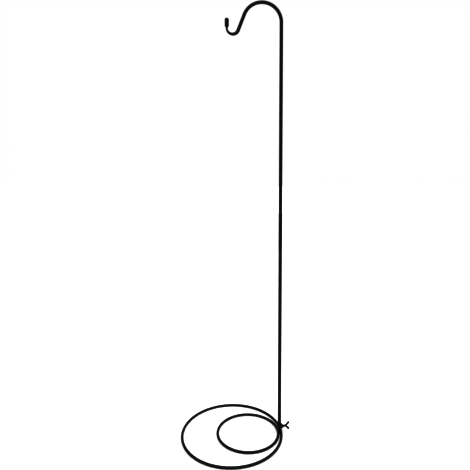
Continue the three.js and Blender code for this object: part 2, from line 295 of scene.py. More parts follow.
def piece(name, mesh, body, slot, *nodes, rub=None):
    """Makes a mesh a named piece of the stand, in the place of the CAD nodes that it covers."""
    facing_out(mesh)
    mesh.name = name
    mesh.materials.clear()
    mesh.materials.append(FINISHES[slot])
    mesh.shade_smooth()
    mesh.set_sharp_from_angle(angle=SHARP_ANGLE)
    if rub:
        shares = [min(max(rub(point.co / MM), 0.0), 1.0) for point in mesh.vertices]
        mesh.attributes.new("rub", "FLOAT", "POINT").data.foreach_set("value", shares)
    made = bpy.data.objects.new(name, mesh)
    bpy.context.scene.collection.objects.link(made)
    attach(made, body)
    if nodes:
        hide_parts(*nodes)
    print(name, "-", len(mesh.polygons), "faces, rides on", body)
    return made


print("pieces are sharp past", round(math.degrees(SHARP_ANGLE)), "degrees")

# %% [markdown]
# ## From a tree to a mesh
# Rods, welds and threads follow a path or repeat, so Geometry Nodes make them. Each tree has named
# inputs for its sizes. It runs once, and what it grows is kept as a plain mesh.

# %% Helpers that run Geometry Nodes
SOCKET_KINDS = {float: "NodeSocketFloat", int: "NodeSocketInt", tuple: "NodeSocketVector"}


def start_tree(name, sizes):
    """A new tree with a path and named sizes for inputs; returns it and its inputs."""
    tree = bpy.data.node_groups.new(name, "GeometryNodeTree")
    tree.interface.new_socket("Path", in_out="INPUT", socket_type="NodeSocketGeometry")
    for label, value in sizes.items():
        kind = SOCKET_KINDS[type(value)]
        tree.interface.new_socket(label, in_out="INPUT", socket_type=kind)
    tree.interface.new_socket("Finish", in_out="INPUT", socket_type="NodeSocketMaterial")
    tree.interface.new_socket("Piece", in_out="OUTPUT", socket_type="NodeSocketGeometry")
    return tree, tree.nodes.new("NodeGroupInput").outputs


def end_tree(tree, mesh, finish):
    """Realizes what the tree made, gives it its finish and ends the tree."""
    real = add(tree, "GeometryNodeRealizeInstances", {"Geometry": mesh})
    done = add(tree, "GeometryNodeSetMaterial", {"Geometry": real, "Material": finish})
    tree.links.new(done, tree.nodes.new("NodeGroupOutput").inputs[0])


def grow(tree, sizes, slot, path=None):
    """Runs a tree with these sizes on a path and returns a plain mesh."""
    holder = bpy.data.objects.new("holder", path or bpy.data.meshes.new("no_path"))
    modifier = holder.modifiers.new("grow", "NODES")
    modifier.node_group = tree
    for item in tree.interface.items_tree:
        if item.in_out == "INPUT" and item.name in sizes:
            modifier[item.identifier] = sizes[item.name]
        if item.name == "Finish":
            modifier[item.identifier] = FINISHES[slot]
    bpy.context.scene.collection.objects.link(holder)
    graph = bpy.context.evaluated_depsgraph_get()
    mesh = bpy.data.meshes.new_from_object(holder.evaluated_get(graph), depsgraph=graph)
    bpy.data.objects.remove(holder)
    return mesh


def path_mesh(points, closed=False, **shares):
    """A line of points in millimetres, with a number at each point for each named share."""
    mesh = bpy.data.meshes.new("path")
    edges = [(i, i + 1) for i in range(len(points) - 1)]
    if closed:
        edges.append((len(points) - 1, 0))
    mesh.from_pydata([Vector(point) * MM for point in points], edges, [])
    for name, values in shares.items():
        mesh.attributes.new(name, "FLOAT", "POINT").data.foreach_set("value", values)
    return mesh


print("tree helpers ready")

# %% [markdown]
# ## The floor rings
# Each ring is one length of rod, rolled to a circle and closed with a butt weld that is ground
# back, which leaves a low swelling. The rule is simple: a round section carried round a circle,
# a little thicker near the seam, and flat underneath where it would sink into the floor. One
# tree makes both rings from different sizes.

# %% Roll the two rings
ring_sizes = {
    "Ring radius": OUTER_RADIUS * MM,
    "Rod radius": ROD / 2 * MM,
    "Middle": (outer_middle.x * MM, 0.0, ROD / 2 * MM),
    "Seam turn": math.radians(17),
    "Seam length": 5 * MM,
    "Seam swelling": 0.05,
    "Steps": 256,
    "Sides": 32,
}
ring_tree, given = start_tree("rolled_rod_ring", ring_sizes)
circle = add(ring_tree, "GeometryNodeCurvePrimitiveCircle", {
    "Resolution": given["Steps"], "Radius": given["Ring radius"]})
section = add(ring_tree, "GeometryNodeCurvePrimitiveCircle", {
    "Resolution": given["Sides"], "Radius": given["Rod radius"]})
along = add(ring_tree, "GeometryNodeSplineParameter", out="Length")
whole = calc(ring_tree, "MULTIPLY", given["Ring radius"], math.tau)
from_seam = calc(ring_tree, "MINIMUM", along, calc(ring_tree, "SUBTRACT", whole, along))
thickest = calc(ring_tree, "ADD", given["Seam swelling"], 1.0)
thickness = between(ring_tree, from_seam, 0.0, given["Seam length"], thickest, 1.0)
rod = add(ring_tree, "GeometryNodeCurveToMesh", {
    "Curve": circle, "Profile Curve": section, "Scale": thickness})
turn = add(ring_tree, "ShaderNodeCombineXYZ", {"Z": given["Seam turn"]})
laid = add(ring_tree, "GeometryNodeTransform", {
    "Geometry": rod, "Translation": given["Middle"], "Rotation": turn})
spot = add(ring_tree, "GeometryNodeInputPosition")
above = add(ring_tree, "ShaderNodeVectorMath", {0: spot, 1: (-9.0, -9.0, 0.0)},
            operation="MAXIMUM")
flat = add(ring_tree, "GeometryNodeSetPosition", {"Geometry": laid, "Position": above})
end_tree(ring_tree, flat, given["Finish"])


def ring_rub(point):
    """The rings are scuffed underneath, where they stand on paving."""
    return 1.1 - point.z / 0.9


piece("outer_floor_ring", grow(ring_tree, ring_sizes, "black_powder_coat"), "base",
      "black_powder_coat", "outer_ring", rub=ring_rub)
inner_ring_sizes = {
    **ring_sizes,
    "Ring radius": INNER_RADIUS * MM,
    "Middle": (inner_middle.x * MM, 0.0, ROD / 2 * MM),
    "Seam turn": math.radians(-31),
}
piece("inner_floor_ring", grow(ring_tree, inner_ring_sizes, "black_powder_coat"), "base",
      "black_powder_coat", "inner_ring", rub=ring_rub)

# %% [markdown]
# ## Turning in the lathe
# The collar, the lower pole, the pin and the cap are bodies of revolution. Their outlines are
# corners of radius and height, each with the size of the round that breaks it, so no edge is
# knife sharp. Rings of points are then stitched together into one closed skin.

# %% Helpers for turned pieces


def stitched(rings, closed=True):
    """One skin over rings of points; a ring of one point is a pole. Closed joins the ends."""
    shape = bmesh.new()
    made = [[shape.verts.new(point) for point in ring] for ring in rings]
    pairs = list(zip(made, made[1:]))
    if closed:
        pairs.append((made[-1], made[0]))
    sides = max(len(ring) for ring in made)
    for first, second in pairs:
        for i in range(sides):
            corners = [
                first[i % len(first)],
                first[(i + 1) % len(first)],
                second[(i + 1) % len(second)],
                second[i % len(second)],
            ]
            corners = list(dict.fromkeys(corners))
            if len(corners) > 2:
                shape.faces.new(corners)
    mesh = bpy.data.meshes.new("stitched")
    shape.to_mesh(mesh)
    shape.free()
    return mesh


def softened(corners, steps=5):
    """Rounds off corners of (radius, height, round), in millimetres."""
    outline = []
    for i, (radius, height, rounding) in enumerate(corners):
        here = Vector((radius, height))
        if not rounding:
            outline.append(here)
            continue
        back = (Vector(corners[i - 1][:2]) - here).normalized()
        ahead = (Vector(corners[(i + 1) % len(corners)][:2]) - here).normalized()
        half = back.angle(ahead) / 2
        centre = here + (back + ahead).normalized() * rounding / math.sin(half)
        start = here + back * rounding / math.tan(half) - centre
        end = here + ahead * rounding / math.tan(half) - centre
        for k in range(steps + 1):
            outline.append(centre + start.lerp(end, k / steps).normalized() * rounding)
    return outline


ON_AXIS = 1e-6                # a radius under this is a single point on the axis


def turned_rings(outline, x, sides):
    """Rings of points round an upright axis at x, from an outline in millimetres."""
    rings = []
    for radius, height in outline:
        turns = [math.tau * i / sides for i in range(sides if radius > ON_AXIS else 1)]
        rings.append([Vector((x + radius * math.cos(a), radius * math.sin(a), height)) * MM
                      for a in turns])
    return rings


def turned(outline, x, sides):
    """A body of revolution about an upright axis at x."""
    return stitched(turned_rings(outline, x, sides), closed=outline[0][0] > ON_AXIS)


print("lathe helpers ready")

# %% [markdown]
# ## The collar
# A short length of thick tube stands on both rods and takes the pole's foot. Its ends are filed
# round before it is coated. The pole rubs the mouth of its bore when it is put in. The real collar
# also has a hole in its side for the screw. It is left out here, so the thread runs through the
# wall, where the nut and the pole hide it.

# %% Turn the collar
COLLAR_BORE = 10.7
COLLAR_ROUND = 0.75
collar_foot = collar_middle.z - collar_size.z / 2
collar_top = collar_middle.z + collar_size.z / 2
COLLAR_RADIUS = collar_size.y / 2
collar_outline = softened([
    (COLLAR_BORE / 2, collar_foot, 0.4),
    (COLLAR_RADIUS, collar_foot, COLLAR_ROUND),
    (COLLAR_RADIUS, collar_top, COLLAR_ROUND),
    (COLLAR_BORE / 2, collar_top, 0.55),
])


def collar_rub(point):
    """Brightest round the mouth of the bore."""
    from_axis = math.hypot(point.x - POLE_X, point.y)
    near_top = max((point.z - collar_top + 0.8) / 0.8, 0)
    return near_top * max(1.35 - (from_axis - COLLAR_BORE / 2) / 1.6, 0)


collar = turned(collar_outline, POLE_X, sides=96)
piece("clamp_collar", collar, "base", "black_powder_coat", "pole_collar", rub=collar_rub)

# %% [markdown]
# ## The nut on the collar
# A hexagon nut is welded to the collar's side, and its outer corners are turned off by a cone. At
# each angle the skin keeps to whichever is nearer the middle, the flat or the cone, which gives the
# curved edges of a real nut. It is made upright in millimetres and then laid along the
# screw's direction.

# %% Make the nut
NUT_FLATS = 8.0
NUT_FACE = COLLAR_RADIUS + 4.6
NUT_BACK = COLLAR_RADIUS - 0.9
NUT_BEVEL = 0.7
NUT_HOLE = 5.3
NUT_SIDES = 96
ALONG_CLAMP = (
    Matrix.Translation(Vector((POLE_X, 0, CLAMP_HEIGHT)) * MM)
    @ Matrix.Rotation(CLAMP_TURN, 4, "Z")
    @ Matrix.Rotation(math.pi / 2, 4, "Y")
)


def hexagon(angle):
    """How far a hexagon's side is from the middle at an angle."""
    from_flat = (angle + math.pi / 6) % (math.pi / 3) - math.pi / 6
    return NUT_FLATS / 2 / math.cos(from_flat)


def nut_ring(height, limit, hexagonal=True):
    """One ring of points round the nut, kept inside a limit."""
    ring = []
    for i in range(NUT_SIDES):
        angle = math.tau * i / NUT_SIDES
        radius = min(hexagon(angle), limit) if hexagonal else limit
        ring.append(Vector((radius * math.cos(angle), radius * math.sin(angle), height)) * MM)
    return ring


nut_corner = NUT_FLATS / 2 / math.cos(math.pi / 6)
nut_rings = [nut_ring(NUT_BACK, NUT_HOLE / 2, False), nut_ring(NUT_BACK, nut_corner)]
for k in range(9):
    rise = NUT_BEVEL / 2 * k / 8
    nut_rings.append(nut_ring(NUT_FACE - NUT_BEVEL / 2 + rise, nut_corner - 2 * rise))
for radius, height in ((3.1, 0), (2.95, -0.04), (NUT_HOLE / 2, -0.45)):
    nut_rings.append(nut_ring(NUT_FACE + height, radius, False))
nut = stitched(nut_rings)
nut.transform(ALONG_CLAMP)


def nut_rub(point):
    """The coat is worn off round the hole by the screw."""
    local = ALONG_CLAMP.inverted() @ (point * MM) / MM
    return 1.5 - (math.hypot(local.x, local.y) - NUT_HOLE / 2) / 0.7 if local.z > 12 else 0


piece("screw_nut", nut, "base", "black_powder_coat", "weld_nut", rub=nut_rub)

# %% [markdown]
# ## The welds
# A welder joined the rods to each other in their groove, the collar to the rods, and the nut to the
# collar. A weld is a row of small puddles that froze one after the other, so the bead
# is a round section whose thickness rises and falls once a puddle. One tree carries it along any
# path, and a fixed noise makes it slightly uneven, as hand work is.

# %% Grow the tree for a weld bead
bead_sizes = {
    "Bead radius": 0.95 * MM,
    "Puddle length": 1.2 * MM,
    "Puddle depth": 0.2,
    "End length": 1.6 * MM,
    "Unevenness": 0.12 * MM,
    "Sides": 14,
}
bead_tree, given = start_tree("weld_bead", bead_sizes)
line = add(bead_tree, "GeometryNodeMeshToCurve", {"Mesh": given["Path"]})
step = calc(bead_tree, "DIVIDE", given["Puddle length"], 8.0)
line = add(bead_tree, "GeometryNodeResampleCurve", {"Curve": line, "Length": step},
           mode="LENGTH")
along = add(bead_tree, "GeometryNodeSplineParameter", out="Length")
whole = add(bead_tree, "GeometryNodeSplineLength", out="Length")
puddle = calc(bead_tree, "MULTIPLY", calc(bead_tree, "DIVIDE", along, given["Puddle length"]),
              math.pi)
hump = calc(bead_tree, "ABSOLUTE", calc(bead_tree, "SINE", puddle))
dip = calc(bead_tree, "MULTIPLY", calc(bead_tree, "SUBTRACT", hump, 1.0),
           given["Puddle depth"])
to_end = calc(bead_tree, "MINIMUM", along, calc(bead_tree, "SUBTRACT", whole, along))
end = between(bead_tree, to_end, 0.0, given["End length"], 0.35, 1.0)
thickness = calc(bead_tree, "MULTIPLY", calc(bead_tree, "ADD", dip, 1.0), end)
section = add(bead_tree, "GeometryNodeCurvePrimitiveCircle", {
    "Resolution": given["Sides"], "Radius": given["Bead radius"]})
bead = add(bead_tree, "GeometryNodeCurveToMesh", {
    "Curve": line, "Profile Curve": section, "Scale": thickness, "Fill Caps": True})
lumps = add(bead_tree, "ShaderNodeTexNoise", {"Scale": 1 / (1.7 * MM), "Detail": 1.0},
            out="Color")
centred = add(bead_tree, "ShaderNodeVectorMath", {0: lumps, 1: (0.5, 0.5, 0.5)},
              operation="SUBTRACT")
shove = add(bead_tree, "ShaderNodeVectorMath", {0: centred, "Scale": given["Unevenness"]},
            operation="SCALE")
bead = add(bead_tree, "GeometryNodeSetPosition", {"Geometry": bead, "Offset": shove})
end_tree(bead_tree, bead, given["Finish"])
print("tree:", bead_tree.name)

# %% [markdown]
# Each weld's path is worked out from the pieces that it joins. The groove weld runs midway
# between the rods. The foot weld climbs over each rod under the collar's wall and dips into the
# groove. The nut's weld goes round the hexagon on the collar's round wall.

# %% Lay the welds
GROOVE_REACH = 9              # mm from the pole, to each side
GROOVE_HEIGHT = 4.9
FOOT_RADIUS = COLLAR_RADIUS - 0.15
FOOT_LOWEST = 5.3
FOOT_FROM = 37                # degrees round the collar, where each foot weld starts
FOOT_SWEEP = 106
FOOT_STEPS = 64
NUT_STEPS = 72


def rod_line(middle, radius, y):
    """Where a ring's rod is in x, that far to the side of the pole."""
    return middle.x + math.sqrt(radius ** 2 - y ** 2)


def rods_between(y):
    """The middle of the groove between the two rods."""
    outer = rod_line(outer_middle, OUTER_RADIUS, y)
    return (outer + rod_line(inner_middle, INNER_RADIUS, y)) / 2


def rods_top(x, y):
    """How high the rods' upper side is at a place."""
    highest = FOOT_LOWEST
    for middle, radius in ((outer_middle, OUTER_RADIUS), (inner_middle, INNER_RADIUS)):
        aside = abs(x - rod_line(middle, radius, y))
        if aside < ROD / 2:
            highest = max(highest, ROD / 2 + math.sqrt((ROD / 2) ** 2 - aside ** 2))
    return highest


def foot_path(side):
    """Round half the collar's foot, on top of the rods."""
    points = []
    for k in range(FOOT_STEPS + 1):
        angle = math.radians(FOOT_FROM + FOOT_SWEEP * k / FOOT_STEPS) * side
        x = POLE_X + FOOT_RADIUS * math.cos(angle)
        y = FOOT_RADIUS * math.sin(angle)
        points.append((x, y, min(rods_top(x, y) + 0.1, collar_foot)))
    return points


def nut_path():
    """Round the nut, where it meets the collar's wall."""
    points = []
    for k in range(NUT_STEPS):
        angle = math.tau * k / NUT_STEPS
        radius = min(hexagon(angle), nut_corner - 0.25) + 0.1
        side = radius * math.sin(angle)
        depth = math.sqrt(COLLAR_RADIUS ** 2 - side ** 2) + 0.15
        points.append(ALONG_CLAMP @ (Vector((radius * math.cos(angle), side, depth)) * MM) / MM)
    return points


groove = path_mesh([(rods_between(y), y, GROOVE_HEIGHT)
                    for y in range(-GROOVE_REACH, GROOVE_REACH + 1)])
groove_sizes = {**bead_sizes, "Bead radius": 1.75 * MM, "Puddle length": 1.9 * MM,
                "End length": 2 * MM}
piece("groove_weld", grow(bead_tree, groove_sizes, "black_powder_coat", groove), "base",
      "black_powder_coat")
for side, name in ((1, "foot_weld_left"), (-1, "foot_weld_right")):
    bead = grow(bead_tree, bead_sizes, "black_powder_coat", path_mesh(foot_path(side)))
    piece(name, bead, "base", "black_powder_coat")
nut_bead_sizes = {**bead_sizes, "Bead radius": 0.75 * MM, "Puddle length": 1.0 * MM,
                  "End length": 0.4 * MM}
nut_bead = grow(bead_tree, nut_bead_sizes, "black_powder_coat", path_mesh(nut_path(), True))
piece("nut_weld", nut_bead, "base", "black_powder_coat")

# %% [markdown]
# ## The screw's thread
# The shank has a standard thread, five millimetres across with a turn every 0.8. It could be
# a swept V, but that leaves a separate coil lying on a bar. Here a fine tube is pushed in and out
# instead: each point's distance along the screw, less its share of a turn, says how deep it is
# in the groove. The result is one skin with flat crests and a pointed start.

# %% Cut the thread
SCREW_START = 5.25            # from the pole's axis outwards
WING_ROOT = NUT_FACE + 4.0
thread_sizes = {
    "Start": SCREW_START * MM,
    "End": (WING_ROOT + 0.6) * MM,
    "Crest radius": 2.5 * MM,
    "Root radius": 2.02 * MM,
    "Pitch": 0.8 * MM,
    "Point length": 1.0 * MM,
    "Sides": 48,
}
thread_tree, given = start_tree("screw_thread", thread_sizes)
start = add(thread_tree, "ShaderNodeCombineXYZ", {"Z": given["Start"]})
stop = add(thread_tree, "ShaderNodeCombineXYZ", {"Z": given["End"]})
line = add(thread_tree, "GeometryNodeCurvePrimitiveLine", {"Start": start, "End": stop})
step = calc(thread_tree, "DIVIDE", given["Pitch"], 14.0)
line = add(thread_tree, "GeometryNodeResampleCurve", {"Curve": line, "Length": step},
           mode="LENGTH")
section = add(thread_tree, "GeometryNodeCurvePrimitiveCircle", {
    "Resolution": given["Sides"], "Radius": given["Crest radius"]})
shank = add(thread_tree, "GeometryNodeCurveToMesh", {
    "Curve": line, "Profile Curve": section, "Fill Caps": True})
spot = add(thread_tree, "GeometryNodeInputPosition")
parts = thread_tree.nodes.new("ShaderNodeSeparateXYZ")
thread_tree.links.new(spot, parts.inputs[0])
angle = calc(thread_tree, "ARCTAN2", parts.outputs["Y"], parts.outputs["X"])
turns = calc(thread_tree, "DIVIDE", angle, math.tau)
passed = calc(thread_tree, "DIVIDE", parts.outputs["Z"], given["Pitch"])
share = calc(thread_tree, "FRACT", calc(thread_tree, "SUBTRACT", passed, turns))
slope = calc(thread_tree, "ABSOLUTE", calc(thread_tree, "SUBTRACT", share, 0.5))
rise = add(thread_tree, "ShaderNodeMapRange", dict(enumerate((slope, 0.06, 0.44, 0.0, 1.0))))
depth = calc(thread_tree, "SUBTRACT", given["Crest radius"], given["Root radius"])
radius = calc(thread_tree, "ADD", given["Root radius"],
              calc(thread_tree, "MULTIPLY", rise, depth))
from_start = calc(thread_tree, "SUBTRACT", parts.outputs["Z"], given["Start"])
point = calc(thread_tree, "ADD", from_start,
             calc(thread_tree, "SUBTRACT", given["Crest radius"], given["Point length"]))
radius = calc(thread_tree, "MINIMUM", radius, point)
across = add(thread_tree, "ShaderNodeCombineXYZ", {
    "X": parts.outputs["X"], "Y": parts.outputs["Y"]})
outward = add(thread_tree, "ShaderNodeVectorMath", {0: across}, operation="NORMALIZE")
reach = add(thread_tree, "ShaderNodeVectorMath", {0: outward, "Scale": radius},
            operation="SCALE")
rest = add(thread_tree, "ShaderNodeCombineXYZ", {"Z": parts.outputs["Z"]})
cut = add(thread_tree, "ShaderNodeVectorMath", {0: reach, 1: rest}, operation="ADD")
shank = add(thread_tree, "GeometryNodeSetPosition", {"Geometry": shank, "Position": cut})
end_tree(thread_tree, shank, given["Finish"])
thread = grow(thread_tree, thread_sizes, "blackened_screw")
thread.transform(ALONG_CLAMP)


def thread_rub(point):
    """The crests are polished by the nut."""
    local = ALONG_CLAMP.inverted() @ (point * MM) / MM
    return (math.hypot(local.x, local.y) - 2.3) / 0.18


piece("screw_thread", thread, "clamp_screw", "blackened_screw", rub=thread_rub)

# %% [markdown]
# ## The wings
# The head is forged: two thumb wings run into a short hub with no sharp corner anywhere. A hub
# and two wings are made as rough solids that overlap. A voxel remesh then melts them
# into one skin, and smoothing rounds it as the dies do. It is all made in millimetres and scaled at
# the end.

# %% Forge the wings
WING_ANGLE = math.radians(44)
WING_REACH = 12.4
WING_END = 3.0
WING_NECK = 2.4
WING_THICK = 2.7
HUB_RADIUS = 3.4
HUB_LENGTH = 5.0
WING_POINTS = 48
# Each slice of a wing: its place through the thickness, and its share of the full outline.
WING_SLICES = [(-0.5, 0.72), (-0.42, 0.9), (-0.2, 1.0), (0.2, 1.0), (0.42, 0.9), (0.5, 0.72)]
WING_MIDDLE = 5               # mm out along the wing, where its faces are closed
WING_FOOT = WING_ROOT + 2.2
VOXEL = 0.2


def wing_ring(aside, thin):
    """One slice of a wing: a long loop, wider at its far end."""
    ring = []
    for k in range(WING_POINTS):
        angle = math.tau * k / WING_POINTS
        far = math.cos(angle) > 0
        radius = (WING_END if far else WING_NECK) * thin
        along = (WING_REACH if far else 0) + radius * math.cos(angle)
        ring.append(Vector((radius * math.sin(angle), aside, along)))
    return ring


def forged_wing(side):
    """A wing as a stack of slices, narrower towards both faces."""
    rings = [[Vector((0, -0.5 * WING_THICK, WING_MIDDLE))]]
    rings += [wing_ring(share * WING_THICK, thin) for share, thin in WING_SLICES]
    rings += [[Vector((0, 0.5 * WING_THICK, WING_MIDDLE))]]
    mesh = stitched(rings, closed=False)
    root = Matrix.Translation((0, 0, WING_FOOT))
    mesh.transform(root @ Matrix.Rotation(side * WING_ANGLE, 4, "Y"))
    return mesh


hub_outline = [(0, WING_ROOT), (2.9, WING_ROOT), (HUB_RADIUS, WING_ROOT + 0.6),
               (HUB_RADIUS, WING_ROOT + HUB_LENGTH - 1.4), (2.1, WING_ROOT + HUB_LENGTH),
               (0, WING_ROOT + HUB_LENGTH)]
hub = turned(hub_outline, 0, sides=48)
hub.transform(Matrix.Scale(1 / MM, 4))
rough = bmesh.new()
for part in (hub, forged_wing(1), forged_wing(-1)):
    facing_out(part)
    rough.from_mesh(part)
head = bpy.data.meshes.new("rough_head")
rough.to_mesh(head)
rough.free()
forge = bpy.data.objects.new("forge", head)
remesh = forge.modifiers.new("melt", "REMESH")
remesh.mode = "VOXEL"
remesh.voxel_size = VOXEL
smooth = forge.modifiers.new("dies", "SMOOTH")
smooth.factor = 0.5
smooth.iterations = 10
bpy.context.scene.collection.objects.link(forge)
graph = bpy.context.evaluated_depsgraph_get()
head = bpy.data.meshes.new_from_object(forge.evaluated_get(graph), depsgraph=graph)
bpy.data.objects.remove(forge)
head.transform(ALONG_CLAMP @ Matrix.Scale(MM, 4))


def wing_rub(point):
    """Thumbs polish the ends of the wings."""
    local = ALONG_CLAMP.inverted() @ (point * MM) / MM
    return (math.hypot(local.x, local.z - WING_ROOT) - 12.2) / 4


piece("wing_head", head, "clamp_screw", "blackened_screw", "wing_screw", rub=wing_rub)

# %% [markdown]
# ## The lower pole
# The lower section is plain tube whose top end is widened on a mandrel, so the joining pin and the
# upper section sit on a firm mouth. The widening is a soft S, not a cone, and the cut end is rolled
# slightly over.

# %% Draw the lower pole
LOWER_BORE = 7.5
LOWER_DIAMETER = 9.9
SOCKET_LENGTH = 96
SOCKET_TAPER = 14
TAPER_STEPS = 10
lower_foot = lower_middle.z - lower_size.z / 2
joint_height = lower_middle.z + lower_size.z / 2
socket_radius = lower_size.y / 2
taper_foot = joint_height - SOCKET_LENGTH - SOCKET_TAPER


def eased(share):
    """A soft start and a soft end between 0 and 1."""
    return share * share * (3 - 2 * share)


lower_corners = [(LOWER_BORE / 2, lower_foot, 0.3), (LOWER_DIAMETER / 2, lower_foot, 0.5)]
for k in range(TAPER_STEPS + 1):
    share = k / TAPER_STEPS
    radius = LOWER_DIAMETER / 2 + (socket_radius - LOWER_DIAMETER / 2) * eased(share)
    lower_corners.append((radius, taper_foot + SOCKET_TAPER * share, 0))
lower_corners += [
    (socket_radius, joint_height - 1.6, 0),
    (socket_radius, joint_height, 0.45),
    (LOWER_BORE / 2, joint_height, 0.4),
    (LOWER_BORE / 2, joint_height - 1.6, 0),
]


def lower_rub(point):
    """The mouth is rubbed by the upper section."""
    return 1.3 - (joint_height - point.z) / 0.9


lower = turned(softened(lower_corners), POLE_X, sides=64)
piece("lower_section_tube", lower, "lower_section", "black_powder_coat", "lower_pole",
      rub=lower_rub)

# %% [markdown]
# ## The upper pole and its hook
# The upper section is one tube, bent round two formers. It runs up, over a wide arch, down a short
# straight flank and round a tight curl. Its end was drawn down first, so the curl is
# thinner. The shape follows a rule: two arcs and three straights. The line is worked out point by
# point, with the share of the full thickness at each, and one tree sweeps both the outside and the
# bore along it.

# %% Work out the hook's line
ARCH_RADIUS = 52.8
ARCH_SWEEP = math.radians(158.5)
FLANK_LENGTH = 46.6
CURL_RADIUS = 16.0
TIP_LENGTH = 22.0
TIP_RADIUS = 2.7
TIP_WALL = 1.3
TUBE_RADIUS = upper_size.y / 2
TUBE_WALL = 1.2
ARCH_STEPS = 72
CURL_STEPS = 48
# Heights of the first points above the tube's foot: close together where the cut edge is rounded.
FOOT_STATIONS = (0, 0.12, 0.3, 0.55, 1.2, 60, 240)
upper_foot = upper_middle.z - upper_size.z / 2
hook_top = upper_middle.z + upper_size.z / 2
arch_height = hook_top - TUBE_RADIUS - ARCH_RADIUS

hook_line = []                # each point with how much of the drawing-down has happened there
for height in FOOT_STATIONS:
    hook_line.append((Vector((POLE_X, 0, upper_foot + height)), 0.0))
for k in range(ARCH_STEPS + 1):
    angle = ARCH_SWEEP * k / ARCH_STEPS
    arch_point = Vector((
        POLE_X - ARCH_RADIUS * (1 - math.cos(angle)), 0,
        arch_height + ARCH_RADIUS * math.sin(angle)))
    hook_line.append((arch_point, 0.0))
flank = Vector((-math.sin(ARCH_SWEEP), 0, math.cos(ARCH_SWEEP)))
flank_end = hook_line[-1][0] + flank * FLANK_LENGTH
curl_middle = flank_end + Vector((math.cos(ARCH_SWEEP), 0, math.sin(ARCH_SWEEP))) * CURL_RADIUS
for k in range(CURL_STEPS + 1):
    angle = ARCH_SWEEP * (1 - k / CURL_STEPS)
    inward = Vector((math.cos(angle), 0, math.sin(angle)))
    hook_line.append((curl_middle - inward * CURL_RADIUS, eased(k / CURL_STEPS)))
tip_start = hook_line[-1][0]
for rise in (TIP_LENGTH / 2, TIP_LENGTH - 0.5, TIP_LENGTH):
    hook_line.append((tip_start + Vector((0, 0, rise)), 1.0))
print("hook line:", len(hook_line), "points, curl's middle at", [round(v, 1) for v in curl_middle])

# %% [markdown]
# The tube's cut foot is deburred, so its first few stations are slightly thinner. The two skins
# that the tree makes are open at both ends, and a band of faces closes each end.

# %% Bend the hook
FOOT_EDGE = (0.35, 0.17, 0.05)          # mm taken off the radius at the first stations
outside_shares = []
bore_shares = []
for index, (point, drawn) in enumerate(hook_line):
    outside = TUBE_RADIUS + (TIP_RADIUS - TUBE_RADIUS) * drawn
    bore = TUBE_RADIUS - TUBE_WALL
    bore += (TIP_RADIUS - TIP_WALL - bore) * drawn
    if index < len(FOOT_EDGE):
        outside -= FOOT_EDGE[index]
    outside_shares.append(outside / TUBE_RADIUS)
    bore_shares.append(bore / TUBE_RADIUS)
hook_sizes = {"Tube radius": TUBE_RADIUS * MM, "Sides": 48}
hook_tree, given = start_tree("drawn_tube", hook_sizes)
line = add(hook_tree, "GeometryNodeMeshToCurve", {"Mesh": given["Path"]})
section = add(hook_tree, "GeometryNodeCurvePrimitiveCircle", {
    "Resolution": given["Sides"], "Radius": given["Tube radius"]})
skins = []
for share_name in ("outside", "bore"):
    share = add(hook_tree, "GeometryNodeInputNamedAttribute", {"Name": share_name},
                data_type="FLOAT")
    skins.append(add(hook_tree, "GeometryNodeCurveToMesh", {
        "Curve": line, "Profile Curve": section, "Scale": share}))
both = add(hook_tree, "GeometryNodeJoinGeometry", {"Geometry": skins})
end_tree(hook_tree, both, given["Finish"])
hook_path = path_mesh([point for point, drawn in hook_line], outside=outside_shares,
                      bore=bore_shares)
hook = grow(hook_tree, hook_sizes, "black_powder_coat", hook_path)
shape = bmesh.new()
shape.from_mesh(hook)
open_edges = [edge for edge in shape.edges if edge.is_boundary]
foot_edges = [edge for edge in open_edges if edge.verts[0].co.z < (upper_foot + 1) * MM]
tip_edges = [edge for edge in open_edges if edge.verts[0].co.z > (upper_foot + 1) * MM]
bmesh.ops.bridge_loops(shape, edges=foot_edges)
bmesh.ops.bridge_loops(shape, edges=tip_edges)
shape.to_mesh(hook)
shape.free()


def hook_rub(point):
    """Rubbed at the foot by the joint, and faintly in the curl where things hang."""
    at_foot = 1.3 - (point.z - upper_foot) / 0.9
    away = (point - curl_middle).length
    low = max(1.0 - (point.z - (curl_middle.z - CURL_RADIUS)) / 9, 0)
    in_curl = low * max((CURL_RADIUS - away + 0.2) / 3, 0)
    return max(at_foot, 0.75 * in_curl)


piece("hook_section_tube", hook, "upper_section", "black_powder_coat", "upper_pole",
      rub=hook_rub)

# %% [markdown]
# ## The joining pin
# A short bright bar is pressed into the foot of the upper section and drops into the socket below.
# Its ends are chamfered so that it finds the hole, and a shallow groove near its middle holds the
# press fit.

# %% Turn the joining pin
PIN_CHAMFER = 1.0
pin_foot = pin_middle.z - pin_size.z / 2
pin_top = pin_middle.z + pin_size.z / 2
pin_radius = pin_size.y / 2
pin_outline = softened([
    (0, pin_foot, 0),
    (pin_radius - PIN_CHAMFER, pin_foot, 0.2),
    (pin_radius, pin_foot + PIN_CHAMFER, 0.3),
    (pin_radius, pin_top - PIN_CHAMFER, 0.3),
    (pin_radius - PIN_CHAMFER, pin_top, 0.2),
    (0, pin_top, 0),
])
piece("turned_joining_pin", turned(pin_outline, POLE_X, sides=48), "upper_section",
      "plain_steel", "joining_pin")

# %% [markdown]
# ## The cap on the tip
# A dipped vinyl cap covers the cut end, so that nobody scratches a hand on it. It is fuller than
# the tube, with a rolled lip at its mouth, a shoulder above it and a round top. It is hollow, and
# the tip stands in it.

